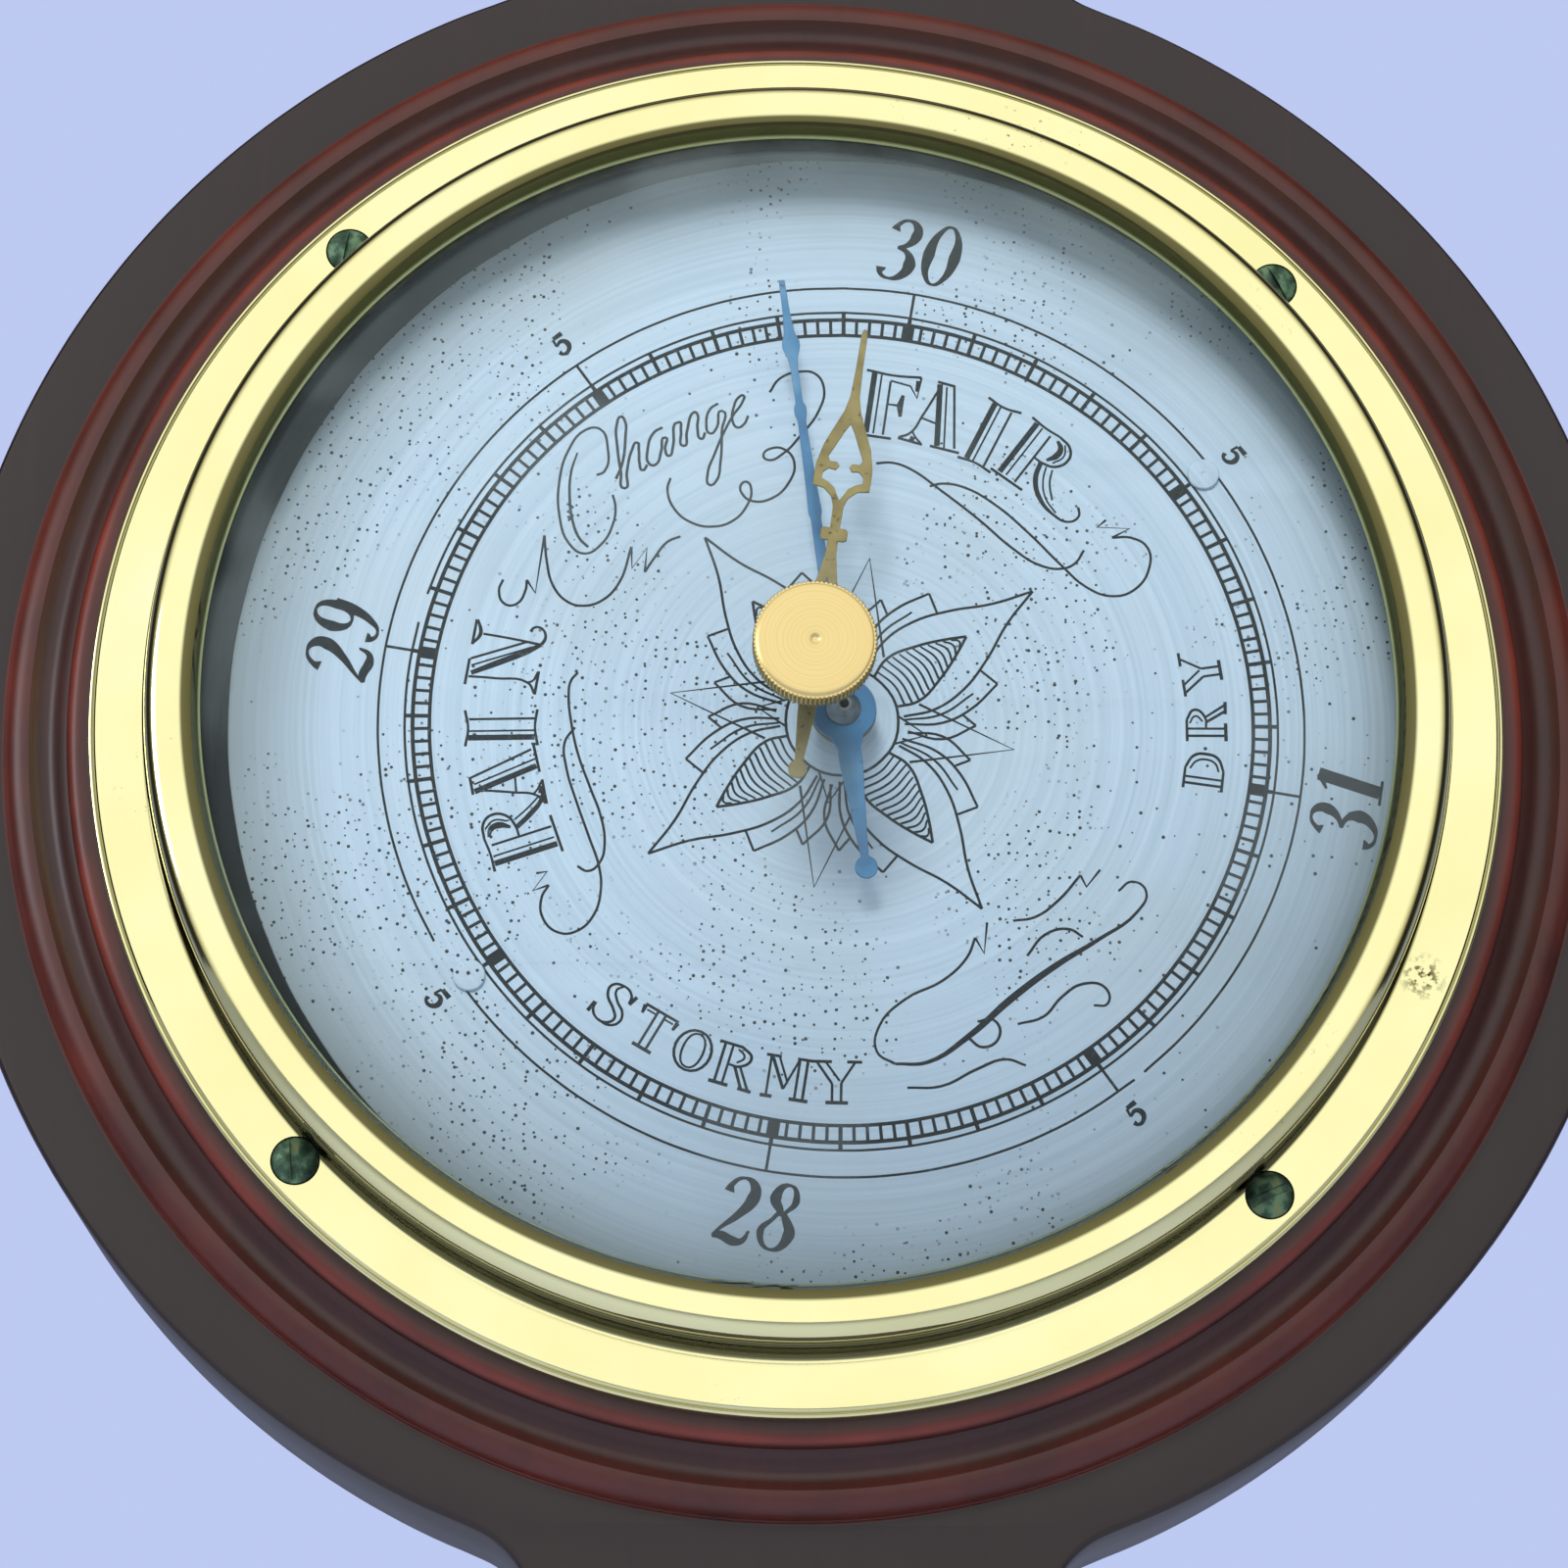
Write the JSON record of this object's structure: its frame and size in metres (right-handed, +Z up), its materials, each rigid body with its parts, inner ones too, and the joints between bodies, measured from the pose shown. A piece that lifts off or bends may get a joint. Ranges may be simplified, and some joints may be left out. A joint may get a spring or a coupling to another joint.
{
  "type": "ship barometer",
  "caption": "Wall aneroid barometer: flanged brass bezel and domed glass on a turned wooden plaque, with a silvered dial, blued pointer and knob-set brass hand.",
  "frame": {"origin": "on the flat wooden back that meets the wall, in the upper neck, 100 mm above the centre of the bezel", "axes": "+Z up as it hangs, +X to the right of a viewer facing the dial, dial facing -Y, wall on the +Y side"},
  "size_m": [0.1748, 0.0564, 0.262],
  "materials": {
    "mahogany": "stained and polished",
    "brass": "polished",
    "dull_brass": "lacquered, dull",
    "silvered": "silvered, circular brushed",
    "blued_steel": "blue lacquered",
    "steel": "satin",
    "patina_brass": "green-brown patina",
    "glass": "clear, domed"
  },
  "bodies": {
    "case": {"wood_plaque": "mahogany", "hanging_plate": "dull_brass", "glass_ring": "dull_brass", "case_drum": "dull_brass", "dial_pillar_upper": "dull_brass", "dial_pillar_lower": "dull_brass", "movement_plate": "dull_brass", "movement_spacer_1": "dull_brass", "movement_spacer_2": "dull_brass", "movement_spacer_3": "dull_brass", "capsule_lower": "dull_brass", "rocker_bracket": "dull_brass", "arbor_cock": "dull_brass", "arbor_bridge": "dull_brass", "cock_pillar_1": "dull_brass", "cock_pillar_2": "dull_brass", "bridge_pillar_1": "dull_brass", "bridge_pillar_2": "dull_brass", "set_washer": "dull_brass", "hanging_screw_1": "patina_brass", "hanging_screw_2": "patina_brass", "bezel_screw_1": "patina_brass", "bezel_screw_2": "patina_brass", "bezel_screw_3": "patina_brass", "bezel_screw_4": "patina_brass", "bezel_ring": "brass", "glass_dome": "glass", "dial_plate": "silvered", "dial_rivet_upper": "silvered", "dial_rivet_lower": "silvered", "movement_screw_1": "steel", "movement_screw_2": "steel", "movement_screw_3": "steel", "mainspring": "steel", "bridge_screw_1": "steel", "bridge_screw_2": "steel", "hairspring": "steel"},
    "pointer": {"pointer_arbor": "steel", "pointer_collet": "brass", "pointer_bush": "steel", "pointer_hand": "blued_steel"},
    "chain": {"fusee_chain": "steel"},
    "rocker": {"rocker_shaft": "steel"},
    "lever": {"main_lever": "steel", "lever_link": "steel"},
    "capsule_top": {"capsule_upper": "dull_brass", "capsule_stud": "steel"},
    "set_marker": {"set_hand": "brass", "set_shaft": "dull_brass", "set_knob": "brass"},
    "adjuster": {"adjusting_screw": "steel"}
  },
  "joints": [
    {"name": "pointer_turn", "type": "hinge", "parent": "case", "child": "pointer", "pos_m": [0.0045, -0.0364, -0.1007], "axis": [0, 1, 0], "range_deg": [-165, 110]},
    {"name": "chain_slide", "type": "slide", "parent": "case", "child": "chain", "axis": [0, 0, -1], "range_m": [-0.0034, 0.005]},
    {"name": "rocker_turn", "type": "hinge", "parent": "case", "child": "rocker", "pos_m": [0.009, -0.011, -0.121], "axis": [1, 0, 0], "range_deg": [-14, 20.5]},
    {"name": "lever_turn", "type": "hinge", "parent": "case", "child": "lever", "pos_m": [-0.0145, -0.02, -0.096], "axis": [0, 0, 1], "range_deg": [-3.2, 2.2]},
    {"name": "capsule_breath", "type": "slide", "parent": "case", "child": "capsule_top", "axis": [0, 1, 0], "range_m": [-0.00016, 0.00011]},
    {"name": "set_turn", "type": "hinge", "parent": "case", "child": "set_marker", "pos_m": [0.0011, -0.0436, -0.0996], "axis": [0, 1, 0], "continuous": true},
    {"name": "adjuster_turn", "type": "hinge", "parent": "case", "child": "adjuster", "pos_m": [-0.0378, -0.0054, -0.096], "axis": [0, 1, 0], "range_deg": [-180, 180]}
  ],
  "couplings": [
    {"joint": "chain_slide", "follows": "pointer_turn", "m_per_rad": -0.0017},
    {"joint": "rocker_turn", "follows": "pointer_turn", "ratio": -0.1214},
    {"joint": "lever_turn", "follows": "pointer_turn", "ratio": 0.018},
    {"joint": "capsule_breath", "follows": "pointer_turn", "m_per_rad": 0.00005}
  ]
}
